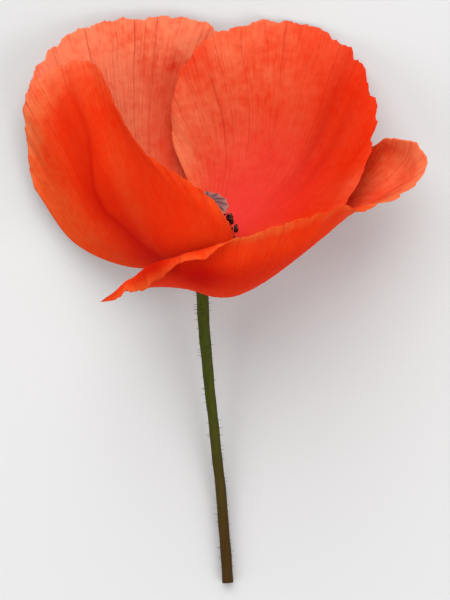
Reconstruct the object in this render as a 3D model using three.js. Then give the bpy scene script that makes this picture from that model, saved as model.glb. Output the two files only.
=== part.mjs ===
// Corn poppy, one cut flower lying on its two back petals and on the end of its stem.
// Millimetres. +Z is up, the surface it lies on is z = 0, +Y runs from the cut end to the head,
// and the origin is on the surface under the middle of the whole flower.
import * as THREE from 'three';

// ---- driving dimensions -------------------------------------------------------------------
const HEART = new THREE.Vector3(-4.2, 10, 22);                      // top middle of the receptacle
const AXIS = new THREE.Vector3(0.06, 0.77, 0.63).normalize();       // way the flower faces
const PETAL_THICKNESS = 0.4;
const STEM_RADIUS_TOP = 1.3;
const STEM_RADIUS_MIDDLE = 1.05;
const STEM_RADIUS_CUT = 1.15;
const OVARY_HEIGHT = 10.4;
const OVARY_RADIUS = 2.9;
const DISC_RADIUS = 4.2;
const DISC_RAYS = 12;
const STAMEN_COUNT = 36;
const FILAMENT_RADIUS = 0.11;
const ANTHER_RADIUS = 0.42;
const ANTHER_LENGTH = 1.5;

const PETAL_RED = '#e8391a';
const STEM_GREEN = '#4c5a1e';
const RECEPTACLE_GREEN = '#6b6a2a';
const OVARY_GREEN = '#7d8a5c';
const DISC_MAUVE = '#6d5a63';
const STAMEN_DARK = '#2a1a24';

// Two directions across the flower's axis: ACROSS is to the right, DOWN leans to the surface.
const ACROSS = new THREE.Vector3(1, 0, 0).addScaledVector(AXIS, -AXIS.x).normalize();
const DOWN = new THREE.Vector3().crossVectors(AXIS, ACROSS).normalize();

const flower = new THREE.Group();

// ---- helpers ------------------------------------------------------------------------------
// A point at a height along the flower's axis, a radius out from it and an angle round it.
function aroundAxis(height, radius, degrees) {
  const angle = THREE.MathUtils.degToRad(degrees);
  return HEART.clone()
    .addScaledVector(AXIS, height)
    .addScaledVector(ACROSS, radius * Math.cos(angle))
    .addScaledVector(DOWN, radius * Math.sin(angle));
}

function addMesh(name, geometry, color, roughness) {
  const material = new THREE.MeshStandardMaterial({ color, roughness, metalness: 0 });
  const mesh = new THREE.Mesh(geometry, material);
  mesh.name = name;
  flower.add(mesh);
  return mesh;
}

function meshFrom(points, triangles) {
  const geometry = new THREE.BufferGeometry();
  const coordinates = points.flatMap((point) => [point.x, point.y, point.z]);
  geometry.setAttribute('position', new THREE.Float32BufferAttribute(coordinates, 3));
  geometry.setIndex(triangles.flat());
  geometry.computeVertexNormals();
  return geometry;
}

// Evenly spaced points on the smooth curve through a list of points.
function evenPoints(points, count) {
  const curve = new THREE.CatmullRomCurve3(points, false, 'centripetal');
  curve.arcLengthDivisions = 400;
  return curve.getSpacedPoints(count - 1);
}

// A closed body through rings of points, each ring running anticlockwise seen from its far end.
function loft(rings) {
  const sides = rings[0].length;
  const points = rings.flat();
  const triangles = [];
  for (let i = 0; i + 1 < rings.length; i += 1) {
    for (let j = 0; j < sides; j += 1) {
      const a = i * sides + j;
      const b = i * sides + (j + 1) % sides;
      triangles.push([a, b, b + sides], [a, b + sides, a + sides]);
    }
  }
  const last = (rings.length - 1) * sides;
  for (let j = 1; j + 1 < sides; j += 1) {
    triangles.push([0, j + 1, j], [last, last + j, last + j + 1]);
  }
  return meshFrom(points, triangles);
}

// A round rod along a curve, with a radius for each of its rings.
function rod(curve, radii, sides) {
  const steps = radii.length - 1;
  const frames = curve.computeFrenetFrames(steps, false);
  const rings = radii.map((radius, i) => {
    const centre = curve.getPointAt(i / steps);
    return Array.from({ length: sides }, (_, j) => {
      const angle = 2 * Math.PI * j / sides;
      return centre.clone()
        .addScaledVector(frames.normals[i], radius * Math.cos(angle))
        .addScaledVector(frames.binormals[i], radius * Math.sin(angle));
    });
  });
  return loft(rings);
}

// A turned piece stands on the flower's axis: its profile is [radius, height] pairs.
function turnedOnAxis(profile, segments) {
  const geometry = new THREE.LatheGeometry(profile.map(([r, h]) => new THREE.Vector2(r, h)), segments);
  const turn = new THREE.Quaternion().setFromUnitVectors(new THREE.Vector3(0, 1, 0), AXIS);
  geometry.applyQuaternion(turn);
  geometry.translate(HEART.x, HEART.y, HEART.z);
  return geometry;
}

// ---- petals -------------------------------------------------------------------------------
// A petal is a thin sheet. It starts on an arc round the receptacle, its claw, and runs out over
// two or three rows of points to its margin. Each row goes from the petal's left edge to its right.
function petalSheet({ claw, rows }, across, along) {
  const clawPoints = Array.from({ length: across }, (_, i) => {
    const t = i / (across - 1);
    return aroundAxis(
      THREE.MathUtils.lerp(claw.height[0], claw.height[1], t),
      THREE.MathUtils.lerp(claw.radius[0], claw.radius[1], t),
      THREE.MathUtils.lerp(claw.angle[0], claw.angle[1], t),
    );
  });
  const spacedRows = rows.map((row) => evenPoints(row.map((p) => new THREE.Vector3(...p)), across));
  return clawPoints.map((start, i) => evenPoints([start, ...spacedRows.map((row) => row[i])], along));
}

function petalGeometry(petal, across, along) {
  const sheet = petalSheet(petal, across, along);
  const front = [];
  const back = [];
  for (let i = 0; i < across; i += 1) {
    for (let j = 0; j < along; j += 1) {
      const aside = sheet[Math.min(i + 1, across - 1)][j].clone().sub(sheet[Math.max(i - 1, 0)][j]);
      const ahead = sheet[i][Math.min(j + 1, along - 1)].clone().sub(sheet[i][Math.max(j - 1, 0)]);
      const normal = aside.cross(ahead).normalize();
      front.push(sheet[i][j].clone().addScaledVector(normal, PETAL_THICKNESS / 2));
      back.push(sheet[i][j].clone().addScaledVector(normal, -PETAL_THICKNESS / 2));
    }
  }
  const offset = across * along;
  const at = (i, j) => i * along + j;
  const triangles = [];
  for (let i = 0; i + 1 < across; i += 1) {
    for (let j = 0; j + 1 < along; j += 1) {
      const [a, b, c, d] = [at(i, j), at(i + 1, j), at(i + 1, j + 1), at(i, j + 1)];
      triangles.push([a, b, c], [a, c, d]);
      triangles.push([offset + a, offset + c, offset + b], [offset + a, offset + d, offset + c]);
    }
  }
  const rim = [];
  for (let i = 0; i < across; i += 1) rim.push(at(i, 0));
  for (let j = 1; j < along; j += 1) rim.push(at(across - 1, j));
  for (let i = across - 2; i >= 0; i -= 1) rim.push(at(i, along - 1));
  for (let j = along - 2; j > 0; j -= 1) rim.push(at(0, j));
  rim.forEach((a, k) => {
    const b = rim[(k + 1) % rim.length];
    triangles.push([a, offset + a, offset + b], [a, offset + b, b]);
  });
  return meshFrom([...front, ...back], triangles);
}

// Back left, lowest of the four: it lies on the surface, its inner face up.
const backLeft = {
  claw: { angle: [190, 75], radius: [2.75, 2.75], height: [-0.5, -0.5] },
  rows: [
    [[-13.6, 10, 20.3], [-12.7, 14.1, 13.5], [-10.2, 17.7, 8.8], [-6.9, 18.9, 7.2], [-3.7, 18.7, 6.8]],
    [[-25.7, 17.2, 12.5], [-24.7, 26.1, 5], [-18.5, 31.8, 1.4], [-10.3, 32.5, 0.8], [-1.8, 30.8, 0.9]],
    [
      [-33.1, 27.8, 10], [-36.4, 33.5, 8.6], [-40, 39.9, 7], [-39.8, 44.4, 6.2], [-37.4, 49, 5.5],
      [-33.1, 53.6, 4], [-25.2, 56.9, 3.2], [-17, 57.8, 2.6], [-9.2, 58, 2.4], [-4.1, 56.8, 2.2],
      [-0.8, 54.2, 1.8], [-0.2, 46.2, 1.2], [-0.8, 38, 1],
    ],
  ],
};

// Back right, over the back left one: its right side stands up as a wall.
const backRight = {
  claw: { angle: [125, -5], radius: [2.15, 2.15], height: [0.5, 0.5] },
  rows: [
    [[-5.9, 18.8, 12], [-2.6, 19.3, 10], [1.4, 19.1, 9.4], [5.1, 16.6, 12], [6.6, 12.4, 20]],
    [
      [-7.7, 24.6, 7.5], [-2.7, 30.7, 3.2], [4.7, 32.8, 1.5], [13.3, 28.6, 4.2], [19.6, 22.6, 13],
      [18.6, 15.6, 21.5],
    ],
    [
      [-10.4, 30.8, 5], [-11, 36.4, 4.2], [-10.6, 41.9, 4.4], [-8.8, 47, 4.6], [-4.5, 52.9, 4.4],
      [0.2, 55.2, 3.3], [6.1, 57, 1.7], [13.3, 57.2, 0.9], [19, 55.8, 1], [23.5, 53.2, 2.7],
      [27.3, 49.2, 6], [29.8, 43.8, 10], [30.6, 36.7, 15], [29.3, 30.9, 18.5], [27.4, 25, 20.5],
      [24.1, 19, 21.5],
    ],
  ],
};

// Front left: a roof over the ovary, its outer face up, with a valley down its left third.
const frontLeft = {
  claw: { angle: [170, 290], radius: [3.5, 2.75], height: [-1.5, -0.2] },
  rows: [
    [
      [-16.1, 6.4, 15.5], [-15.2, 6.8, 18.8], [-12.1, 8.7, 27], [-8.5, 9.8, 32], [-4.3, 10.4, 36],
      [-0.6, 10.1, 38],
    ],
    [
      [-30.6, 11.6, 6], [-27.9, 15, 11.5], [-23.5, 19.7, 17.5], [-16.2, 21.2, 26.5], [-9.2, 19, 34],
      [-2.5, 15.2, 39], [1.6, 11.6, 41],
    ],
    [
      [-38.8, 22.7, 4.5], [-40.1, 27.6, 4.8], [-40.4, 32.3, 5.2], [-41, 37.1, 6.8], [-40.7, 41.5, 9],
      [-38.3, 44.6, 10.2], [-34.6, 46.9, 12], [-30.1, 48.2, 13.5], [-26.3, 47.9, 16], [-24.2, 44.1, 19],
      [-21.3, 37.8, 23], [-17.4, 31, 28], [-12.2, 26.3, 33], [-6.8, 23, 36.5], [-2.1, 19.1, 39.5],
      [1, 14.7, 41.5],
    ],
  ],
};

// Front right, the outermost: it bulges up over the heart, rolls its margin out, runs to a tongue
// on the left and opens into a cupped lobe on the right.
const frontRight = {
  claw: { angle: [250, 375], radius: [3.5, 3.5], height: [-1.1, -1.1] },
  rows: [
    [
      [-8.5, 3.8, 28], [-5.7, 2.4, 31], [-2.6, 0.8, 33], [1.4, 0.7, 33.5], [5.7, 2.8, 31],
      [8.5, 6.3, 26], [8.2, 8.8, 20], [5.4, 10.3, 15.5],
    ],
    [
      [-16.7, 2.2, 33], [-13, 3.1, 38.5], [-8.7, 4.4, 43.5], [-3.7, 5.8, 46.5], [2.5, 6.2, 46.5],
      [8.7, 7, 43], [15.6, 9.8, 37.5], [21.5, 14.4, 29], [22.3, 17.3, 17], [19.7, 19.7, 9.5],
    ],
    [
      [-22.1, 1, 37], [-18.4, 4.1, 41.5], [-14.5, 6.6, 45.5], [-9.8, 8.2, 48.5], [-4.4, 9.8, 49.5],
      [1.3, 10.9, 49.5], [7.1, 11.5, 47], [13.3, 13.2, 43], [19.5, 15.4, 37.5], [25.5, 18, 28],
      [29.4, 19.4, 20], [34, 22.9, 16.5], [35.2, 27.2, 15.5], [32.9, 29.8, 14.5], [28.5, 28.3, 11.5],
    ],
    [
      [-24.2, -0.4, 38], [-22, -0.2, 39], [-19.2, 1.2, 41], [-15.5, 2.1, 44], [-12.5, 4, 47],
      [-9, 6.9, 50.5], [-3.4, 8.4, 52], [1.3, 11.3, 51], [7.1, 13.2, 48.5], [12.9, 15.1, 44.5],
      [18.9, 16.9, 39.5], [23.7, 18.4, 34.5], [27, 17.5, 31], [30.6, 19, 28], [33.9, 20, 26],
      [37, 22.1, 24], [39.1, 24.7, 22.5], [40.3, 27.9, 21.5], [39, 30.8, 20.5], [35.7, 32.2, 19],
      [32.3, 32.2, 17], [29.5, 30.9, 13.5],
    ],
  ],
};

addMesh('petal_back_left', petalGeometry(backLeft, 22, 14), PETAL_RED, 0.6);
addMesh('petal_back_right', petalGeometry(backRight, 24, 14), PETAL_RED, 0.6);
addMesh('petal_front_left', petalGeometry(frontLeft, 24, 14), PETAL_RED, 0.6);
addMesh('petal_front_right', petalGeometry(frontRight, 34, 16), PETAL_RED, 0.6);

// ---- receptacle and stem --------------------------------------------------------------------
// The receptacle is the widened top of the stem: a little stepped cone, with each petal's claw
// against one of its steps.
const RECEPTACLE_FOOT = -5;
const receptacleProfile = [
  [0, 0.2], [1.6, 0.2], [1.95, 0.05], [2.3, -0.45], [2.45, -0.65], [3, -1.05], [3.15, -1.5],
  [3.3, -2.2], [3, -2.8], [1.9, -3.9], [1.45, RECEPTACLE_FOOT], [0, RECEPTACLE_FOOT],
];
addMesh('receptacle', turnedOnAxis(receptacleProfile.reverse(), 20), RECEPTACLE_GREEN, 0.6);

// The stem comes down from the receptacle and lies along the surface at its cut end.
const stemTop = aroundAxis(RECEPTACLE_FOOT - 0.3, 0, 0);
const stemCurve = new THREE.CatmullRomCurve3([
  stemTop,
  new THREE.Vector3(-4.6, 1.5, 15.6),
  new THREE.Vector3(-3.9, -10, 9.8),
  new THREE.Vector3(-2.4, -25, 5),
  new THREE.Vector3(-0.8, -40, 2.3),
  new THREE.Vector3(0.6, -58, 1.2),
]);
const STEM_STEPS = 26;
const stemRadii = Array.from({ length: STEM_STEPS + 1 }, (_, i) => {
  const t = i / STEM_STEPS;
  const [from, to, part] = t < 0.5
    ? [STEM_RADIUS_TOP, STEM_RADIUS_MIDDLE, t / 0.5]
    : [STEM_RADIUS_MIDDLE, STEM_RADIUS_CUT, (t - 0.5) / 0.5];
  return THREE.MathUtils.lerp(from, to, part);
});
addMesh('stem', rod(stemCurve, stemRadii, 12), STEM_GREEN, 0.55);

// ---- ovary and stigma disc ------------------------------------------------------------------
const OVARY_FOOT = 0.5;
const ovaryProfile = [
  [0, OVARY_FOOT], [0.8, OVARY_FOOT], [0.85, 1.2], [1.5, 2.4], [2.4, 4.2], [OVARY_RADIUS, 6.4],
  [2.8, 8.4], [2.4, 9.8], [2.2, OVARY_HEIGHT], [0, OVARY_HEIGHT],
];
addMesh('ovary', turnedOnAxis(ovaryProfile, 24), OVARY_GREEN, 0.6);

// The disc sits on the ovary like a cap. Its rim has a lobe at the end of each stigma ray.
const DISC_HEIGHT = OVARY_HEIGHT + 0.3;
function discRing(radius, height, lobe) {
  const sides = DISC_RAYS * 4;
  return Array.from({ length: sides }, (_, j) => {
    const degrees = 360 * j / sides;
    const wave = Math.cos(THREE.MathUtils.degToRad(degrees * DISC_RAYS));
    return aroundAxis(DISC_HEIGHT + height, radius + lobe * wave, degrees);
  });
}
const discRings = [
  discRing(1.8, 0, 0), discRing(DISC_RADIUS - 0.7, 0.1, 0.2), discRing(DISC_RADIUS, 0.45, 0.3),
  discRing(DISC_RADIUS - 0.5, 0.95, 0.25), discRing(2.4, 1.5, 0.05), discRing(0.5, 1.7, 0),
];
addMesh('stigma_disc', loft(discRings), DISC_MAUVE, 0.7);

// ---- stamens --------------------------------------------------------------------------------
// Two rings of hair-thin filaments stand round the foot of the ovary, each with a small anther.
function stamenGeometry(index) {
  const outer = index % 2;
  const angle = 360 * index / STAMEN_COUNT;
  const sway = Math.sin(index * 2.4);
  const footRadius = outer ? 1.65 : 1.2;
  const tipRadius = (outer ? 6.2 : 4.9) + 0.4 * sway;
  const tipHeight = (outer ? 5.6 : 7.2) + 0.5 * Math.cos(index * 1.7);
  const foot = aroundAxis(outer ? 0.9 : 1.0, footRadius, angle);
  const knee = aroundAxis(tipHeight * 0.5, THREE.MathUtils.lerp(footRadius, tipRadius, 0.62), angle);
  const tip = aroundAxis(tipHeight, tipRadius, angle);
  const end = tip.clone().addScaledVector(AXIS, ANTHER_LENGTH);
  const filament = new THREE.CatmullRomCurve3([foot, knee, tip, end]);
  const antherStart = 1 - ANTHER_LENGTH / filament.getLength();
  const stations = [0, 0.3, 0.6, antherStart, antherStart + 0.04, (1 + antherStart) / 2, 0.97, 1];
  const radii = [
    FILAMENT_RADIUS, FILAMENT_RADIUS, FILAMENT_RADIUS, FILAMENT_RADIUS, ANTHER_RADIUS * 0.75,
    ANTHER_RADIUS, ANTHER_RADIUS * 0.75, ANTHER_RADIUS * 0.35,
  ];
  const sides = 6;
  const rings = stations.map((t, i) => {
    const centre = filament.getPointAt(t);
    const along = filament.getTangentAt(t);
    const side = new THREE.Vector3().crossVectors(along, ACROSS).normalize();
    const other = new THREE.Vector3().crossVectors(along, side).normalize();
    return Array.from({ length: sides }, (_, j) => {
      const turn = 2 * Math.PI * j / sides;
      return centre.clone()
        .addScaledVector(side, radii[i] * Math.cos(turn))
        .addScaledVector(other, radii[i] * Math.sin(turn));
    });
  });
  return loft(rings);
}
for (let index = 0; index < STAMEN_COUNT; index += 1) {
  const name = `stamen_${String(index + 1).padStart(2, '0')}`;
  addMesh(name, stamenGeometry(index), STAMEN_DARK, 0.8);
}

export default flower;
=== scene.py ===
# A cut corn poppy in full bloom, lying on its two back petals and on the end of its stem.
# The pieces are made in the order in which the flower is put together, from the stem to the
# petals. Their points are in millimetres until a mesh is built from them, in metres.
import math
import random

import bpy
import numpy as np
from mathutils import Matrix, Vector


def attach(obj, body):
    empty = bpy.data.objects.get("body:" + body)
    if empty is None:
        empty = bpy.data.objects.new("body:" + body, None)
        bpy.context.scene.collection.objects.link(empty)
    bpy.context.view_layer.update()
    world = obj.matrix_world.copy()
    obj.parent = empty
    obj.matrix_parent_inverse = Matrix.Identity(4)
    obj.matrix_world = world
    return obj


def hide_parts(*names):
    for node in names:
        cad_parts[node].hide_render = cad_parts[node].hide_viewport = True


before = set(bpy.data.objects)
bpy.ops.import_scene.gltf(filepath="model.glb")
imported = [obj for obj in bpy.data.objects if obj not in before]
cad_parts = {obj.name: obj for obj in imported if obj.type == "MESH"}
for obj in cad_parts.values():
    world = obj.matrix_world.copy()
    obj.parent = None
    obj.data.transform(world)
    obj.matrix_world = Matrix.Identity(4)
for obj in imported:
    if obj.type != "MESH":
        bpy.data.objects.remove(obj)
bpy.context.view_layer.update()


# ---- Camera -------------------------------------------------------------------------------------
# The flower lies on its back, so it is looked at from straight above, from far enough away
# that the petals keep their true proportions.
camera = bpy.data.objects.new("camera", bpy.data.cameras.new("camera"))
camera.data.sensor_width = 36
camera.data.lens = 210
camera.data.clip_start = 0.01
camera.data.clip_end = 20
camera.location = (0, 0, 0.720)
bpy.context.scene.collection.objects.link(camera)
bpy.context.scene.camera = camera


# ---- Tabletop and studio light ------------------------------------------------------------------
# A sheet of pale matt paper with a faint laid texture, lit from all round by a white room, with
# one broad soft lamp beyond the head and two weaker ones, to the left and to the right of the stem.
def new_material(name):
    """A new material, its node tree, its surface shader and its output."""
    material = bpy.data.materials.new(name)
    material.use_nodes = True
    tree = material.node_tree
    return material, tree, tree.nodes["Principled BSDF"], tree.nodes["Material Output"]


def add_node(tree, kind, **inputs):
    """A node with its inputs set by name: a value is set on the socket, an output is linked to it."""
    node = tree.nodes.new(kind)
    for key, value in inputs.items():
        socket = node.inputs[int(key[3:])] if key.startswith("in_") else node.inputs[key.replace("_", " ")]
        if isinstance(value, bpy.types.NodeSocket):
            tree.links.new(value, socket)
        else:
            socket.default_value = value
    return node


def noise(tree, vector, scale, detail):
    """A cloudy random pattern, about 0.5 with lighter and darker places."""
    return add_node(tree, "ShaderNodeTexNoise", Vector=vector, Scale=scale, Detail=detail).outputs[0]


def roughen(tree, skin, height, strength, distance):
    """Fine relief on a surface, raised where the pattern is high. Returns the bent facing direction."""
    relief = add_node(tree, "ShaderNodeBump", Height=height, Strength=strength, Distance=distance)
    tree.links.new(relief.outputs[0], skin.inputs["Normal"])
    return relief.outputs[0]


paper, tree, skin, output = new_material("pale_paper")
skin.inputs["Base Color"].default_value = (0.51, 0.51, 0.51, 1)
skin.inputs["Roughness"].default_value = 0.9
skin.inputs["Specular IOR Level"].default_value = 0.2
place = add_node(tree, "ShaderNodeTexCoord").outputs["Object"]
roughen(tree, skin, noise(tree, place, 420.0, 3.0), 0.12, 0.0003)

bpy.ops.mesh.primitive_plane_add(size=4)
tabletop = bpy.context.object
tabletop.name = "tabletop"
tabletop.data.materials.append(paper)

room = bpy.data.worlds.new("white_room")
room.use_nodes = True
room.node_tree.nodes["Background"].inputs[0].default_value = (1, 1, 1, 1)
room.node_tree.nodes["Background"].inputs[1].default_value = 0.5
bpy.context.scene.world = room
bpy.context.scene.view_settings.view_transform = "Standard"


def soft_lamp(name, place, width, watts):
    """A round lamp that faces the flower's head."""
    lamp = bpy.data.objects.new(name, bpy.data.lights.new(name, "AREA"))
    lamp.data.shape = "DISK"
    lamp.data.size = width
    lamp.data.energy = watts
    lamp.location = place
    lamp.rotation_euler = (Vector((0, 0.02, 0.02)) - Vector(place)).to_track_quat("-Z", "Y").to_euler()
    bpy.context.scene.collection.objects.link(lamp)


soft_lamp("lamp_beyond_head", (-0.1, 0.75, 0.85), 1.3, 15.2)
soft_lamp("lamp_left", (-0.75, -0.25, 0.6), 0.8, 3.6)
soft_lamp("lamp_near_stem", (0.65, -0.5, 0.6), 0.8, 6.2)


# ---- Stem ---------------------------------------------------------------------------------------
# A thin solid stalk, green under the flower and brown towards the cut, with stiff bristles
# standing straight out of it. It droops from the head and lies on the table at its cut end.

# HEART is where petals and stamens meet, and AXIS is the way the flower faces. Angles go round the
# axis from ACROSS, to the right, to DOWN, towards the table.
HEART = np.array([-4.2, 10, 22])
AXIS = np.array([0.06, 0.77, 0.63]) / np.linalg.norm([0.06, 0.77, 0.63])
ACROSS = np.array([1.0, 0, 0]) - AXIS * AXIS[0]
ACROSS /= np.linalg.norm(ACROSS)
DOWN = np.cross(AXIS, ACROSS)
STEM_TOP = -4.7
MM = 0.001


def around_axis(height, radius, degrees):
    """A point at a height along the flower's axis, a radius out from it and an angle round it."""
    angle = math.radians(degrees)
    return HEART + AXIS * height + radius * (math.cos(angle) * ACROSS + math.sin(angle) * DOWN)


def smooth_line(points, count):
    """Evenly spaced points on the smooth curve that runs through the given ones."""
    points = np.asarray(points, float)
    ends = np.vstack([2 * points[0] - points[1], points, 2 * points[-1] - points[-2]])
    steps = np.sqrt(np.linalg.norm(np.diff(ends, axis=0), axis=1)) + 1e-9
    t = np.linspace(0, 1, 17)[:, None]
    pieces = []
    for i in range(len(points) - 1):
        a, b, c, d = ends[i:i + 4]
        before, here, after = steps[i:i + 3]
        start = ((b - a) / before - (c - a) / (before + here) + (c - b) / here) * here
        finish = ((c - b) / here - (d - b) / (here + after) + (d - c) / after) * here
        piece = b + start * t + (3 * (c - b) - 2 * start - finish) * t**2
        piece = piece + (2 * (b - c) + start + finish) * t**3
        pieces.append(piece if i == 0 else piece[1:])
    line = np.vstack(pieces)
    length = np.concatenate([[0], np.cumsum(np.linalg.norm(np.diff(line, axis=0), axis=1))])
    wanted = np.linspace(0, length[-1], count)
    return np.stack([np.interp(wanted, length, line[:, k]) for k in range(3)], 1)


def build_piece(name, points, faces, material):
    """A smooth-shaded mesh from points in millimetres, riding on the flower."""
    mesh = bpy.data.meshes.new(name)
    mesh.from_pydata([tuple(p) for p in np.asarray(points) * MM], [], faces)
    mesh.polygons.foreach_set("use_smooth", [True] * len(mesh.polygons))
    mesh.materials.append(material)
    piece = bpy.data.objects.new(name, mesh)
    bpy.context.scene.collection.objects.link(piece)
    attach(piece, "root")
    return piece


def closed_loft(rings, first=0):
    """The faces of a closed body through rings of equally many points, numbered from first."""
    sides = len(rings[0])
    faces = []
    for i in range(len(rings) - 1):
        for j in range(sides):
            a, b = first + i * sides + j, first + i * sides + (j + 1) % sides
            faces.append((a, b, b + sides, a + sides))
    faces.append(tuple(first + j for j in reversed(range(sides))))
    faces.append(tuple(first + (len(rings) - 1) * sides + j for j in range(sides)))
    return faces


def ring_frames(line):
    """Two sideways directions at each point of a line, turning as little as they can along it."""
    ahead = np.gradient(line, axis=0)
    ahead /= np.linalg.norm(ahead, axis=1)[:, None]
    side = np.cross(ahead[0], [0.3, 0.2, 1.0])
    frames = []
    for direction in ahead:
        side = side - direction * side.dot(direction)
        side = side / np.linalg.norm(side)
        frames.append((side, np.cross(direction, side)))
    return frames


def calculate(tree, operation, first, second=0.0, third=0.0, clamp=False):
    """One step of arithmetic between numbers or node outputs."""
    node = add_node(tree, "ShaderNodeMath", in_0=first, in_1=second, in_2=third)
    node.operation = operation
    node.use_clamp = clamp
    return node.outputs[0]


def blend_colours(tree, share, first, second):
    """The first colour where the share is 0, the second where it is 1."""
    node = tree.nodes.new("ShaderNodeMix")
    node.data_type = "RGBA"
    for socket, value in ((node.inputs[0], share), (node.inputs[6], first), (node.inputs[7], second)):
        if isinstance(value, bpy.types.NodeSocket):
            tree.links.new(value, socket)
        else:
            socket.default_value = value
    return node.outputs[2]


def ease(tree, value, low, high, out_low=0.0, out_high=1.0):
    """Goes softly from one number to another while the value goes from low to high."""
    node = add_node(tree, "ShaderNodeMapRange", Value=value)
    node.interpolation_type = "SMOOTHSTEP"
    for key, number in (("From Min", low), ("From Max", high), ("To Min", out_low), ("To Max", out_high)):
        node.inputs[key].default_value = number
    return node.outputs["Result"]


stem_green, tree, skin, output = new_material("stem_green_to_brown")
place = add_node(tree, "ShaderNodeTexCoord").outputs["Object"]
height = add_node(tree, "ShaderNodeSeparateXYZ", Vector=place).outputs["Y"]
streaks = add_node(tree, "ShaderNodeMapping", Vector=place, Scale=(1400.0, 90.0, 1400.0)).outputs[0]
streak = noise(tree, streaks, 1.0, 4.0)
blotch = noise(tree, place, 160.0, 2.0)
ageing = calculate(tree, "ADD", height, calculate(tree, "MULTIPLY", blotch, 0.016))
brownness = ease(tree, ageing, -0.045, -0.008, 1.0, 0.0)
green = blend_colours(tree, streak, (0.021, 0.028, 0.0015, 1), (0.057, 0.064, 0.004, 1))
brown = blend_colours(tree, streak, (0.025, 0.012, 0.002, 1), (0.06, 0.027, 0.004, 1))
tree.links.new(blend_colours(tree, brownness, green, brown), skin.inputs["Base Color"])
skin.inputs["Roughness"].default_value = 0.5
skin.inputs["Specular IOR Level"].default_value = 0.06
roughen(tree, skin, streak, 0.35, 0.0002)

STEM_STEPS = 150
STEM_SIDES = 28
stem_line = smooth_line([
    around_axis(STEM_TOP, 0, 0), (-4.6, 1.5, 15.6), (-3.9, -10, 9.8), (-2.4, -25, 5),
    (-0.8, -40, 2.3), (0.6, -58, 1.2),
], STEM_STEPS)
stem_frames = ring_frames(stem_line)
rng = random.Random(7)
bump_phase = [rng.uniform(0, 6.28) for _ in range(6)]


def stem_radius(t, turn):
    """The stalk tapers, has shallow ribs, and swells a little at random along its length."""
    taper = np.interp(t, [0, 0.5, 1], [1.3, 1.05, 1.13])
    ribs = 0.035 * math.cos(7 * turn + 2 * t) + 0.02 * math.cos(4 * turn + bump_phase[0])
    knots = 0.035 * math.sin(31 * t + bump_phase[1] + turn)
    small_knots = 0.025 * math.sin(67 * t + bump_phase[2] - 2 * turn)
    return taper + ribs + knots + small_knots


stem_rings = []
for i, (middle, (side, other)) in enumerate(zip(stem_line, stem_frames)):
    t = i / (STEM_STEPS - 1)
    turns = [2 * math.pi * j / STEM_SIDES for j in range(STEM_SIDES)]
    stem_rings.append([
        middle + stem_radius(t, turn) * (math.cos(turn) * side + math.sin(turn) * other) for turn in turns
    ])
last_middle, last_ring = stem_line[-1], np.array(stem_rings[-1])
last_step = stem_line[-1] - stem_line[-2]
for width, onward in ((0.82, 0.12), (0.45, -0.25)):
    stem_rings.append(list(last_middle + (last_ring - last_middle) * width + last_step * onward))
stem = build_piece("stem", np.vstack(stem_rings), closed_loft(stem_rings), stem_green)
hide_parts("stem")

bristle_brown, tree, skin, output = new_material("bristle_brown")
skin.inputs["Base Color"].default_value = (0.05, 0.032, 0.012, 1)
skin.inputs["Roughness"].default_value = 0.45
BRISTLES = 210
BRISTLE_RADIUS = 0.055
SUNK = 0.1
LOWEST = 0.08
points, faces = [], []
for _ in range(BRISTLES):
    t = rng.uniform(0.02, 0.985)
    turn = rng.uniform(0, 2 * math.pi)
    i = min(int(t * (STEM_STEPS - 1)), STEM_STEPS - 2)
    side, other = stem_frames[i]
    out = math.cos(turn) * side + math.sin(turn) * other
    aside = -math.sin(turn) * side + math.cos(turn) * other
    ahead = np.cross(side, other)
    root = stem_line[i] + out * (stem_radius(t, turn) - SUNK)
    reach = rng.uniform(0.35, 0.95)
    lean = ahead * rng.uniform(-0.25, 0.25) + aside * rng.uniform(-0.2, 0.2)
    if root[2] + (out[2] + lean[2]) * reach < LOWEST:
        reach = 0.25
    rings = []
    for share, width in ((0, 1.6), (0.12, 1.0), (0.6, 0.7), (1.0, 0.15)):
        middle = root + (out + lean * share) * (reach * share + SUNK)
        rings.append([
            middle + BRISTLE_RADIUS * width * (math.cos(corner) * aside + math.sin(corner) * ahead)
            for corner in (0, 2.094, 4.188)
        ])
    faces += closed_loft(rings, len(points))
    points += [p for ring in rings for p in ring]
bristles = build_piece("stem_bristles", points, faces, bristle_brown)


# ---- Receptacle ---------------------------------------------------------------------------------
# The widened top of the stem that everything else grows out of: a small stepped cone of green
# tissue, turned about the flower's axis, with a ring-shaped scar where the two sepals fell off.
receptacle_green, tree, skin, output = new_material("receptacle_green")
place = add_node(tree, "ShaderNodeTexCoord").outputs["Object"]
mottle = noise(tree, place, 900.0, 4.0)
green = blend_colours(tree, mottle, (0.035, 0.045, 0.008, 1), (0.1, 0.1, 0.02, 1))
tree.links.new(green, skin.inputs["Base Color"])
skin.inputs["Roughness"].default_value = 0.5
roughen(tree, skin, mottle, 0.3, 0.0002)


def turned_piece(name, profile, sides, material, ribs=0, rib_depth=0.0):
    """A closed body turned about the flower's axis from (height, radius) pairs, with raised ribs."""
    rings = []
    for height, radius in profile:
        ring = []
        for j in range(sides):
            degrees = 360 * j / sides
            wave = 0.5 + 0.5 * math.cos(math.radians(degrees) * ribs) if ribs else 0.0
            ring.append(around_axis(height, radius - rib_depth * (1 - wave) * radius, degrees))
        rings.append(ring)
    return build_piece(name, np.vstack(rings), closed_loft(rings), material)


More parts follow.
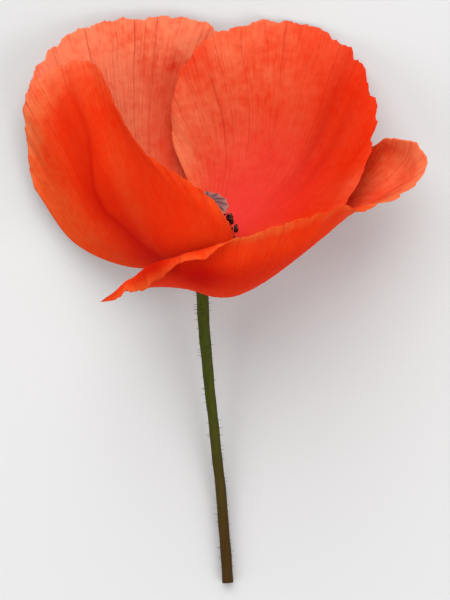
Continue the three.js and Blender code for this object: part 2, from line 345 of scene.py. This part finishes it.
receptacle_profile = [
    (-5.0, 1.33), (-4.7, 1.42), (-4.2, 1.62), (-3.9, 1.95), (-3.4, 2.35), (-2.95, 2.85), (-2.7, 3.1),
    (-2.45, 3.12), (-2.3, 3.36), (-2.1, 3.4), (-1.7, 3.3), (-1.4, 3.42), (-1.2, 3.4), (-1.0, 3.18),
    (-0.7, 2.75), (-0.5, 2.68), (-0.2, 2.4), (0.1, 2.05), (0.2, 1.8), (0.2, 0.2),
]
receptacle = turned_piece("receptacle", receptacle_profile, 64, receptacle_green)
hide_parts("receptacle")


# ---- Ovary --------------------------------------------------------------------------------------
# The young seed head: a barrel of grey-green tissue with a waxy bloom, one shallow rib under
# each ray of the disc that caps it.
RAYS = 12
ovary_green, tree, skin, output = new_material("ovary_waxy_green")
place = add_node(tree, "ShaderNodeTexCoord").outputs["Object"]
bloom = noise(tree, place, 700.0, 5.0)
wax = blend_colours(tree, bloom, (0.13, 0.17, 0.06, 1), (0.3, 0.34, 0.2, 1))
tree.links.new(wax, skin.inputs["Base Color"])
skin.inputs["Roughness"].default_value = 0.55
roughen(tree, skin, bloom, 0.2, 0.0002)
ovary_profile = [
    (0.5, 0.5), (0.52, 0.8), (1.2, 0.86), (1.8, 1.12), (2.4, 1.5), (3.3, 2.0), (4.2, 2.42), (5.3, 2.74),
    (6.4, 2.9), (7.4, 2.9), (8.4, 2.78), (9.2, 2.6), (9.8, 2.42), (10.2, 2.28), (10.4, 2.1), (10.4, 0.3),
]
ovary = turned_piece("ovary", ovary_profile, 96, ovary_green, ribs=RAYS, rib_depth=0.05)
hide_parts("ovary")


# ---- Stigma disc --------------------------------------------------------------------------------
# The cap on the ovary: a thin mauve-grey disc with a scalloped pale rim and twelve dark velvety
# rays that run in to its middle, each a raised ridge. It is part of the living seed head.
DISC_FOOT = 10.7
DISC_RADIUS = 4.2
disc_mauve, tree, skin, output = new_material("disc_mauve")
tone = add_node(tree, "ShaderNodeAttribute")
tone.attribute_name = "ray"
place = add_node(tree, "ShaderNodeTexCoord").outputs["Object"]
pile = noise(tree, place, 2600.0, 3.0)
parts = add_node(tree, "ShaderNodeSeparateColor", Color=tone.outputs["Color"])
plain = blend_colours(tree, parts.outputs[1], (0.19, 0.075, 0.075, 1), (0.45, 0.19, 0.16, 1))
velvet = blend_colours(tree, pile, (0.03, 0.012, 0.018, 1), (0.09, 0.035, 0.045, 1))
tree.links.new(blend_colours(tree, parts.outputs[0], plain, velvet), skin.inputs["Base Color"])
skin.inputs["Roughness"].default_value = 0.75
skin.inputs["Specular IOR Level"].default_value = 0.15
skin.inputs["Sheen Weight"].default_value = 0.08
skin.inputs["Sheen Roughness"].default_value = 0.5
roughen(tree, skin, pile, 0.5, 0.00015)

DISC_SIDES = RAYS * 16
DISC_EDGE = 7
disc_profile = [
    (1.0, 0.0), (1.9, 0.0), (2.9, 0.02), (3.6, 0.1), (4.0, 0.24), (4.18, 0.42), (DISC_RADIUS, 0.55),
    (4.12, 0.72), (3.9, 0.86), (3.6, 0.98), (3.2, 1.12), (2.7, 1.28), (2.2, 1.42), (1.7, 1.54),
    (1.2, 1.63), (0.6, 1.7), (0.2, 1.7),
]
rings, tones = [], []
for k, (radius, height) in enumerate(disc_profile):
    ring = []
    for j in range(DISC_SIDES):
        degrees = 360 * j / DISC_SIDES
        wave = math.cos(math.radians(degrees) * RAYS)
        ridge = max(0.0, wave) ** 4 if k > DISC_EDGE else 0.0
        rim = min(1.0, max(0.0, (radius - 2.6) / 1.6))
        lobe = 0.13 * wave * rim
        raised = 0.2 * ridge * min(1, radius / 1.2)
        ring.append(around_axis(DISC_FOOT + height + raised, radius + lobe, degrees))
        velvety = min(1.0, ridge * 1.6) * (0.8 if radius < 3.7 else 0.1)
        tones.append((velvety, rim**2, 0, 1))
    rings.append(ring)


def paint(piece, layer_name, tones):
    """Keeps four numbers at each point of a piece, for its material to read."""
    layer = piece.data.color_attributes.new(layer_name, "FLOAT_COLOR", "POINT")
    layer.data.foreach_set("color", np.array(tones, np.float32).ravel())


disc = build_piece("stigma_disc", np.vstack(rings), closed_loft(rings), disc_mauve)
paint(disc, "ray", tones)
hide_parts("stigma_disc")


# ---- Stamens ------------------------------------------------------------------------------------
# A dense ring round the foot of the ovary: hair-thin purple-black filaments, each with a small
# two-lobed anther that splits and sheds pale pollen. Three fine ones stand for each solid one.
filament_purple, tree, skin, output = new_material("stamen_purple_black")
tone = add_node(tree, "ShaderNodeAttribute")
tone.attribute_name = "part"
place = add_node(tree, "ShaderNodeTexCoord").outputs["Object"]
dust = noise(tree, place, 3200.0, 2.0)
pollen = ease(tree, dust, 0.56, 0.68)
parts = add_node(tree, "ShaderNodeSeparateColor", Color=tone.outputs["Color"])
thread = (0.035, 0.008, 0.016, 1)
anther = blend_colours(tree, pollen, (0.06, 0.012, 0.01, 1), (0.42, 0.2, 0.13, 1))
tree.links.new(blend_colours(tree, parts.outputs[0], thread, anther), skin.inputs["Base Color"])
skin.inputs["Roughness"].default_value = 0.8
skin.inputs["Specular IOR Level"].default_value = 0.15
roughen(tree, skin, dust, 0.6, 0.00015)

SOLID_STAMENS = 36
TWINS = 3
STAMEN_FOOT = 0.9
THREAD_RADIUS = 0.055
ANTHER_LENGTH = 1.2
ANTHER_OVERLAP = 0.12
ANTHER_SIDES = 10
anther_widths = [
    (0, 0.1), (0.06, 0.25), (0.2, 0.34), (0.4, 0.37), (0.62, 0.36), (0.82, 0.29), (0.95, 0.17), (1.0, 0.05),
]


def stamen_shape(angle, foot_radius, tip_radius, tip_height, roll):
    """Points, faces and part tones of one stamen: a curved thread, then its two-lobed anther."""
    foot = around_axis(STAMEN_FOOT, foot_radius, angle)
    knee_radius = foot_radius + (tip_radius - foot_radius) * 0.62
    knee = around_axis(tip_height * 0.5, knee_radius, angle + roll * 3)
    tip = around_axis(tip_height, tip_radius, angle + roll * 4)
    line = smooth_line([foot, knee, tip], 9)
    frames = ring_frames(line)
    thread = []
    for k, (middle, (side, other)) in enumerate(zip(line, frames)):
        width = THREAD_RADIUS if k < len(line) - 1 else 0.04
        corners = (0, 1.257, 2.513, 3.77, 5.027)
        thread.append([middle + width * (math.cos(q) * side + math.sin(q) * other) for q in corners])
    side, other = frames[-1]
    ahead = line[-1] - line[-2]
    ahead /= np.linalg.norm(ahead)
    lean = ahead + 0.35 * (math.cos(roll * 9) * side + math.sin(roll * 9) * other)
    lean /= np.linalg.norm(lean)
    across = np.cross(lean, other)
    across /= np.linalg.norm(across)
    flat = np.cross(lean, across)
    anther = []
    for share, width in anther_widths:
        middle = line[-1] + lean * (ANTHER_LENGTH * share - ANTHER_OVERLAP)
        ring = []
        for q in range(ANTHER_SIDES):
            turn = 2 * math.pi * q / ANTHER_SIDES
            pinch = 1 - 0.3 * math.sin(turn) ** 2
            outward = 1.05 * math.cos(turn) * across + 0.8 * pinch * math.sin(turn) * flat
            ring.append(middle + width * outward)
        anther.append(ring)
    thread_points, anther_points = np.vstack(thread), np.vstack(anther)
    faces = closed_loft(thread) + closed_loft(anther, len(thread_points))
    tones = [(0, 0, 0, 1)] * len(thread_points) + [(1, 0, 0, 1)] * len(anther_points)
    return np.vstack([thread_points, anther_points]), faces, tones


rng = random.Random(21)
for index in range(SOLID_STAMENS):
    usual_foot, usual_tip, usual_height = (1.65, 5.6, 5.7) if index % 2 else (1.2, 4.4, 7.3)
    points, faces, tones = [], [], []
    for twin in range(TWINS):
        aside = twin - 1
        angle = 360 * index / SOLID_STAMENS + aside * 3.3 + rng.uniform(-1, 1)
        tip_radius = usual_tip + 0.4 * aside + rng.uniform(-0.35, 0.35)
        tip_height = usual_height - 0.6 * aside + rng.uniform(-0.5, 0.5)
        shape = stamen_shape(angle, usual_foot, tip_radius, tip_height, rng.uniform(-1, 1))
        faces += [tuple(v + len(points) for v in face) for face in shape[1]]
        points += list(shape[0])
        tones += shape[2]
    name = f"stamen_{index + 1:02d}"
    stamen = build_piece(f"fine_{name}", points, faces, filament_purple)
    paint(stamen, "part", tones)
    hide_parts(name)


# ---- Petals -------------------------------------------------------------------------------------
# Four sheets of scarlet tissue as thin as paper, growing from the rim of the receptacle, each by a
# narrow claw. Fine veins fan out from the claw, with silky pleats between them, to a crinkled and
# nicked margin. Light shines through them.
petal_scarlet, tree, skin, output = new_material("petal_scarlet")
PETAL_THICKNESS = 0.16
LIGHT_THROUGH = 0.28
lie = add_node(tree, "ShaderNodeUVMap")
lie.uv_map = "petal"
place = add_node(tree, "ShaderNodeTexCoord").outputs["Object"]
tone = add_node(tree, "ShaderNodeAttribute")
tone.attribute_name = "tone"
tones_of = add_node(tree, "ShaderNodeSeparateColor", Color=tone.outputs["Color"])
paleness, blush, painted_shade = tones_of.outputs[0], tones_of.outputs[1], tones_of.outputs[2]
split = add_node(tree, "ShaderNodeSeparateXYZ", Vector=lie.outputs[0])
wander_at = add_node(tree, "ShaderNodeMapping", Vector=lie.outputs[0], Scale=(9.0, 5.0, 1.0)).outputs[0]
wander = noise(tree, wander_at, 1.0, 3.0)
drift = calculate(tree, "MULTIPLY", calculate(tree, "SUBTRACT", wander, 0.5), 0.035)
fan = calculate(tree, "ADD", split.outputs["X"], drift)
outward = split.outputs["Y"]


def veins(count, starts, width, strength):
    """Fine lines that fan out from the claw. Each has its own weight, and they begin part way out."""
    spread = calculate(tree, "MULTIPLY", fan, count)
    own = add_node(tree, "ShaderNodeTexWhiteNoise")
    own.noise_dimensions = "1D"
    tree.links.new(calculate(tree, "FLOOR", spread), own.inputs["W"])
    middle = calculate(tree, "ABSOLUTE", calculate(tree, "SUBTRACT", calculate(tree, "FRACT", spread), 0.5))
    line = ease(tree, middle, width, 0.0)
    weight = ease(tree, own.outputs["Value"], 0.15, 0.9)
    begin = ease(tree, outward, starts, starts + 0.18)
    return calculate(tree, "MULTIPLY", calculate(tree, "MULTIPLY", line, weight),
                     calculate(tree, "MULTIPLY", begin, strength))


unbroken = calculate(tree, "MAXIMUM", veins(31.0, -0.1, 0.07, 1.0),
                     calculate(tree, "MAXIMUM", veins(73.0, 0.2, 0.12, 0.7), veins(149.0, 0.5, 0.2, 0.45)))
breaks_at = add_node(tree, "ShaderNodeMapping", Vector=lie.outputs[0], Scale=(60.0, 7.0, 1.0)).outputs[0]
breaks = noise(tree, breaks_at, 1.0, 2.0)
vein = calculate(tree, "MULTIPLY", unbroken, ease(tree, breaks, 0.36, 0.6, 0.25, 1.0))
tissue_at = add_node(tree, "ShaderNodeMapping", Vector=lie.outputs[0], Scale=(150.0, 9.0, 1.0)).outputs[0]
tissue = noise(tree, tissue_at, 1.0, 4.0)
clouds, mottle = noise(tree, place, 95.0, 3.0), noise(tree, place, 620.0, 2.0)
patchy = 0.0
for pattern, share in ((tissue, 1.0), (clouds, 2.2), (mottle, 1.2)):
    patchy = calculate(tree, "MULTIPLY_ADD", calculate(tree, "SUBTRACT", pattern, 0.5), share, patchy)
uneven = calculate(tree, "MULTIPLY", paleness, calculate(tree, "ADD", patchy, 1.0))
pale = calculate(tree, "MULTIPLY_ADD", patchy, 0.08, uneven, clamp=True)
salmon = blend_colours(tree, tone.outputs["Alpha"], (0.91, 0.235, 0.118, 1), (0.75, 0.14, 0.02, 1))
scarlet = blend_colours(tree, pale, (0.76, 0.026, 0.0015, 1), salmon)
rosy = blend_colours(tree, blush, scarlet, (0.80, 0.05, 0.047, 1))
# Painted shade: the third tone turns the red towards this dark wine colour where shade falls, in creases,
# under the rolled lip and near the claw.
with_painted_shade = blend_colours(tree, painted_shade, rosy, (0.5, 0.0025, 0.0004, 1))
vein_share = calculate(tree, "MULTIPLY", vein, calculate(tree, "MULTIPLY_ADD", paleness, 0.35, 0.38))
veined = blend_colours(tree, vein_share, with_painted_shade, (0.45, 0.012, 0.004, 1))
tree.links.new(veined, skin.inputs["Base Color"])
skin.inputs["Roughness"].default_value = 0.6
skin.inputs["Specular IOR Level"].default_value = 0.02
relief = calculate(tree, "MULTIPLY_ADD", tissue, 0.8, calculate(tree, "MULTIPLY", vein, -0.5))
facing = roughen(tree, skin, relief, 0.35, 0.0002)
shine_through = add_node(tree, "ShaderNodeBsdfTranslucent", Color=veined, Normal=facing)
lit_both_ways = {"in_0": LIGHT_THROUGH, "in_1": skin.outputs[0], "in_2": shine_through.outputs[0]}
sheet = add_node(tree, "ShaderNodeMixShader", **lit_both_ways)
tree.links.new(sheet.outputs[0], output.inputs["Surface"])


def ripple(u, waves, generator):
    """A sum of sines with random heights and phases, about -1 to 1, the same for every run."""
    total = np.zeros_like(u)
    for number in waves:
        total += generator.uniform(0.5, 1.0) * np.sin(2 * math.pi * number * u + generator.uniform(0, 6.28))
    return total / len(waves) ** 0.5


def hill(x, middle, width):
    """1 at the middle, falling softly to 0 on both sides of it."""
    return np.exp(-(((x - middle) / width) ** 2))


def sheet_facing(surface):
    """The way each point of a sheet faces."""
    facing = np.cross(np.gradient(surface, axis=0), np.gradient(surface, axis=1))
    return facing / (np.linalg.norm(facing, axis=2)[:, :, None] + 1e-12)


def crumple(surface, u, v, nicks, generator):
    """Crinkles and nicks the margin in the sheet's own plane, then ruffles, pleats and creases it."""
    steps = u[:, 0]
    ahead = np.gradient(surface, axis=1)
    ahead /= np.linalg.norm(ahead, axis=2)[:, :, None] + 1e-12
    crinkle = 0.36 * ripple(steps, (9, 14, 19, 27), generator)
    crinkle += 0.15 * ripple(steps, (43, 61, 83), generator)
    for at, nick_depth, half_width in nicks:
        crinkle -= nick_depth * hill(steps, at, half_width)
    away_from_corners = np.clip(np.minimum(steps, 1 - steps) / 0.02, 0, 1)
    facing = sheet_facing(surface)
    surface = surface + ahead * (crinkle * away_from_corners)[:, None, None] * (v**7)[:, :, None]
    ruffle = 0.34 * ripple(steps, (7, 11, 17), generator)[:, None] * v**6
    pleats = 0.028 * ripple(steps, (23, 31, 41, 57), generator)[:, None] * np.sin(math.pi * v**0.8) ** 0.5
    leaning = (u + 0.05 * np.sin(5 * v)).ravel()
    creases = 0.022 * ripple(leaning, (29, 47), generator).reshape(u.shape) * v
    return surface + facing * (ruffle + pleats + creases)[:, :, None]


def closed_sheet(surface, half_thickness):
    """Points and faces of a thin closed sheet: its front, its back and the edge round them."""
    lift = sheet_facing(surface) * half_thickness[:, :, None]
    points = np.vstack([(surface + lift).reshape(-1, 3), (surface - lift).reshape(-1, 3)])
    across, along = half_thickness.shape
    count = across * along
    index = np.arange(count).reshape(across, along)
    a, b, c, d = index[:-1, :-1], index[1:, :-1], index[1:, 1:], index[:-1, 1:]
    faces = np.stack([a, b, c, d], 2).reshape(-1, 4).tolist()
    faces += np.stack([d + count, c + count, b + count, a + count], 2).reshape(-1, 4).tolist()
    edge = list(index[:, 0]) + list(index[-1, 1:]) + list(index[-2::-1, -1]) + list(index[0, -2:0:-1])
    for first, second in zip(edge, edge[1:] + edge[:1]):
        faces.append([int(first), int(first) + count, int(second) + count, int(second)])
    return points, faces


def petal(node, claw, rows, across, along, seed, nicks, tone_of):
    """One petal. Its claw is an arc round the receptacle, and its rows lead out to the margin.

    In nicks and tones, u runs from 0 to 1 across the petal and v from the claw to the margin.
    """
    steps = np.linspace(0, 1, across)
    claw_arc = [np.interp(steps, [0, 1], claw[key]) for key in ("height", "radius", "angle")]
    start = [around_axis(*place) for place in zip(*claw_arc)]
    spaced = [smooth_line(row, across) for row in rows]
    surface = np.array([smooth_line([start[i]] + [row[i] for row in spaced], along) for i in range(across)])
    u = steps[:, None] + np.zeros((1, along))
    v = np.linspace(0, 1, along)[None, :] + np.zeros((across, 1))
    surface = crumple(surface, u, v, nicks, random.Random(seed))
    half_thickness = PETAL_THICKNESS / 2 * np.interp(v, [0, 0.15, 1], [1.6, 1.1, 0.7])
    piece = build_piece(f"{node}_sheet", *closed_sheet(surface, half_thickness), petal_scarlet)
    corners = np.zeros(len(piece.data.loops), np.int32)
    piece.data.loops.foreach_get("vertex_index", corners)
    flat = np.stack([u.ravel(), v.ravel()], 1)
    uv_layer = piece.data.uv_layers.new(name="petal")
    uv_layer.data.foreach_set("uv", flat[corners % len(flat)].astype(np.float32).ravel())
    shades = np.clip(np.stack([shade + 0.0 * u for shade in tone_of(u, v)], 2), 0, 1).reshape(-1, 4)
    paint(piece, "tone", np.vstack([shades, shades]))
    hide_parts(node)


# Each petal has a tone: how pale it is, how rosy, how much painted shade darkens it, and how orange
# its pale parts are. The paleness is partly the petal's own colour, paler and blotchy towards the
# margin, and partly painted light where light comes through one layer only or falls on a raised lip.
# The painted shade lies in creases, under the rolled lip and towards the claw.
def back_left_tone(u, v):
    pale_part = 0.25 + 0.8 * v.clip(0, 0.9) ** 1.5 + 0.25 * hill(u, 0.5, 0.08) * hill(v, 0.6, 0.2)
    pale_part -= 0.28 * hill(u, 0.66, 0.11) * hill(v, 0.7, 0.14)
    pale_part -= 0.3 * hill(u, 0.74, 0.09) * hill(v, 0.5, 0.14)
    rosy_foot = 0.5 * (1 - v / 0.5).clip(0)
    return pale_part, rosy_foot, 0.0, 0.15


petal(
    "petal_back_left",
    {"angle": (190, 75), "radius": (2.75, 2.75), "height": (-0.5, -0.5)},
    [
        [(-13.6, 10, 20.3), (-12.7, 14.1, 13.5), (-10.2, 17.7, 8.8), (-6.9, 18.9, 7.2), (-3.7, 18.7, 6.8)],
        [(-25.7, 17.2, 12.5), (-24.7, 26.1, 5), (-18.5, 31.8, 1.4), (-10.3, 32.5, 0.8), (-1.8, 30.8, 0.9)],
        [
            (-33.1, 27.8, 10), (-36.4, 33.5, 8.6), (-40, 39.9, 7), (-39.8, 44.4, 6.2), (-37.4, 49, 5.5),
            (-33.1, 53.6, 4), (-25.2, 56.9, 3.2), (-17, 57.8, 2.6), (-9.2, 58, 2.4), (-4.1, 56.8, 2.2),
            (-0.8, 54.2, 1.8), (-0.2, 46.2, 1.2), (-0.8, 38, 1),
        ],
    ],
    across=170, along=90, seed=3,
    nicks=[(0.306, 0.6, 0.006), (0.356, 0.5, 0.006), (0.588, 0.45, 0.005)],
    tone_of=back_left_tone,
)


def back_right_tone(u, v):
    pale_part = 0.09 + 0.66 * hill(u, 0.1, 0.34) * v + 0.15 * hill(u, 0.38, 0.12) * v**4
    pale_part += 0.2 * hill(u, 0.93, 0.07) * v**3 - 0.06 * hill(u, 0.75, 0.2)
    pale_part -= 0.4 * hill(u, 0.22, 0.08) * hill(v, 1.0, 0.14)
    # Painted shade: dark streaks across the right of the bowl and one fine dark line, in the shade tone.
    streaks = hill(u, 0.6, 0.03) + 0.8 * hill(u, 0.68, 0.025)
    streaks += 0.6 * hill(u, 0.6, 0.14) + 0.8 * hill(u, 0.245, 0.005)
    rosy_foot = 1.2 * (1 - v / 0.72).clip(0) * hill(u, 0.4, 0.5)
    return pale_part, rosy_foot, 0.3 * streaks * hill(v, 0.72, 0.3), 0.3


petal(
    "petal_back_right",
    {"angle": (125, -5), "radius": (2.15, 2.15), "height": (0.5, 0.5)},
    [
        [(-5.9, 18.8, 12), (-2.6, 19.3, 10), (1.4, 19.1, 9.4), (5.1, 16.6, 12), (6.6, 12.4, 20)],
        [
            (-7.7, 24.6, 7.5), (-2.7, 30.7, 3.2), (4.7, 32.8, 1.5), (13.3, 28.6, 4.2), (19.6, 22.6, 13),
            (18.6, 15.6, 21.5),
        ],
        [
            (-10.4, 30.8, 5), (-11, 36.4, 4.2), (-10.6, 41.9, 4.4), (-8.8, 47, 4.6), (-4.5, 52.9, 4.4),
            (0.2, 55.2, 3.3), (6.1, 57, 1.7), (13.3, 57.2, 0.9), (19, 55.8, 1), (23.5, 53.2, 2.7),
            (27.3, 49.2, 6), (29.8, 43.8, 10), (30.6, 36.7, 15), (29.3, 30.9, 18.5), (27.4, 25, 20.5),
            (24.1, 19, 21.5),
        ],
    ],
    across=180, along=90, seed=5,
    nicks=[(0.544, 1.0, 0.006), (0.614, 1.1, 0.009), (0.706, 1.5, 0.026), (0.84, 0.7, 0.012)],
    tone_of=back_right_tone,
)


def front_left_tone(u, v):
    fold = np.interp(v, (0.14, 0.21, 0.41, 0.51, 0.61, 0.7), (0.39, 0.34, 0.256, 0.269, 0.32, 0.345))
    edge_v, edge_u = (0.2, 0.44, 0.6, 0.7, 0.81, 0.86, 0.9), (0.31, 0.23, 0.219, 0.225, 0.244, 0.275, 0.33)
    edge = np.interp(v, edge_v, edge_u)
    # Painted light: beyond the hidden edge of the back left petal, light comes through this petal alone, so
    # it is painted paler there.
    lit_through_one_layer = ((edge + 0.02 - u) / 0.09).clip(0, 1)
    pale_part = 0.04 + 0.36 * lit_through_one_layer * v + 0.25 * v**8 + 0.32 * hill(u, 0.28, 0.22) * v**16
    pale_part += 0.14 * hill(u, 0.42, 0.05) + 0.1 * hill(u, 0.95, 0.2) * v**3
    # Painted shade: a dark line and a broader valley along the crease, a darker band, and deep shade
    # towards the claw.
    crease_shade = 0.34 * hill(u, fold, 0.011) + 0.38 * hill(u, fold - 0.03, 0.06) * (1 - lit_through_one_layer)
    band_shade = 0.18 * hill(u, 0.56, 0.05) * hill(v, 0.85, 0.25)
    foot = 0.95 * (1 - v / 0.6).clip(0) * hill(u, 0.3, 0.25)
    orange = 0.9 - 0.6 * hill(u, 0.28, 0.2) * v**8
    return pale_part, 0.0, crease_shade * hill(v, 0.55, 0.4) + band_shade + foot, orange


petal(
    "petal_front_left",
    {"angle": (170, 290), "radius": (3.5, 2.75), "height": (-1.5, -0.2)},
    [
        [
            (-16.1, 6.4, 15.5), (-15.2, 6.8, 18.8), (-12.1, 8.7, 27), (-8.5, 9.8, 32), (-4.3, 10.4, 36),
            (-0.6, 10.1, 38),
        ],
        [
            (-30.6, 11.6, 6), (-27.9, 15, 11.5), (-23.5, 19.7, 17.5), (-16.2, 21.2, 26.5), (-9.2, 19, 34),
            (-2.5, 15.2, 39), (1.6, 11.6, 41),
        ],
        [
            (-38.8, 22.7, 4.5), (-40.1, 27.6, 4.8), (-40.4, 32.3, 5.2), (-41, 37.1, 6.8), (-40.7, 41.5, 9),
            (-38.3, 44.6, 10.2), (-34.6, 46.9, 12), (-30.1, 48.2, 13.5), (-26.3, 47.9, 16),
            (-24.2, 44.1, 19), (-21.3, 37.8, 23), (-17.4, 31, 28), (-12.2, 26.3, 33),
            (-6.8, 23, 36.5), (-2.1, 19.1, 39.5), (1, 14.7, 41.5),
        ],
    ],
    across=180, along=90, seed=8,
    nicks=[(0.156, 0.9, 0.009), (0.21, 0.4, 0.006), (0.42, 0.5, 0.01)],
    tone_of=front_left_tone,
)


def front_right_tone(u, v):
    rolled = ((v - 0.93) / 0.05).clip(0, 1)
    lobe = hill(u, 0.84, 0.13)
    # Painted light: the rolled lip and the far edge of the right lobe are painted paler where they catch
    # light; the rest is the petal's own paler margin.
    pale_part = 0.1 + 0.35 * rolled + 0.5 * lobe * v**2 + 0.6 * hill(u, 0.72, 0.06) * v**6
    pale_part += 0.4 * hill(u, 0.95, 0.07) * hill(v, 0.8, 0.2)
    # Painted shade: shadow under the rolled lip, shade low on the outer face and beside its fold, and dark
    # shade at the tongue.
    under_roll_shadow = hill(u, 0.23, 0.075) * hill(v, 0.72, 0.18)
    under_roll_shadow += 0.9 * hill(u, 0.15, 0.05) * hill(v, 0.88, 0.12)
    shade = 0.85 * under_roll_shadow + 0.25 * (1 - v / 0.8).clip(0) * (1 - lobe)
    shade += 0.4 * hill(u, 0.37, 0.14) * hill(v, 0.68, 0.16)
    tongue_shade = 0.5 * (1 - u / 0.04).clip(0) + 0.5 * hill(u, 0.16, 0.04) * rolled
    return pale_part, 0.0, shade * (1 - rolled) + tongue_shade, 0.9 - 0.6 * lobe


petal(
    "petal_front_right",
    {"angle": (250, 375), "radius": (3.5, 3.5), "height": (-1.1, -1.1)},
    [
        [
            (-8.5, 3.8, 28), (-5.7, 2.4, 31), (-2.6, 0.8, 33), (1.4, 0.7, 33.5), (5.7, 2.8, 31),
            (8.5, 6.3, 26), (8.2, 8.8, 20), (5.4, 10.3, 15.5),
        ],
        [
            (-16.7, 2.2, 33), (-13, 3.1, 38.5), (-8.7, 4.4, 43.5), (-3.7, 5.8, 46.5), (2.5, 6.2, 46.5),
            (8.7, 7, 43), (15.6, 9.8, 37.5), (21.5, 14.4, 29), (22.3, 17.3, 17), (19.7, 19.7, 9.5),
        ],
        [
            (-22.1, 1, 37), (-18.4, 4.1, 41.5), (-14.5, 6.6, 45.5), (-9.8, 8.2, 48.5), (-4.4, 9.8, 49.5),
            (1.3, 10.9, 49.5), (7.1, 11.5, 47), (13.3, 13.2, 43), (19.5, 15.4, 37.5), (25.5, 18, 28),
            (29.4, 19.4, 20), (34, 22.9, 16.5), (35.2, 27.2, 15.5), (32.9, 29.8, 14.5), (28.5, 28.3, 11.5),
        ],
        [
            (-24.2, -0.4, 38), (-22, -0.2, 39), (-19.2, 1.2, 41), (-15.5, 2.1, 44), (-12.5, 4, 47),
            (-9, 6.9, 50.5), (-3.4, 8.4, 52), (1.3, 11.3, 51), (7.1, 13.2, 48.5), (12.9, 15.1, 44.5),
            (18.9, 16.9, 39.5), (23.7, 18.4, 34.5), (27, 17.5, 31), (30.6, 19, 28), (33.9, 20, 26),
            (37, 22.1, 24), (39.1, 24.7, 22.5), (40.3, 27.9, 21.5), (39, 30.8, 20.5), (35.7, 32.2, 19),
            (32.3, 32.2, 17), (29.5, 30.9, 13.5),
        ],
    ],
    across=230, along=110, seed=13,
    nicks=[
        (0.06, 0.6, 0.008), (0.67, 0.5, 0.008), (0.705, 0.7, 0.01), (0.755, 0.8, 0.01), (0.8, 0.5, 0.008),
    ],
    tone_of=front_right_tone,
)
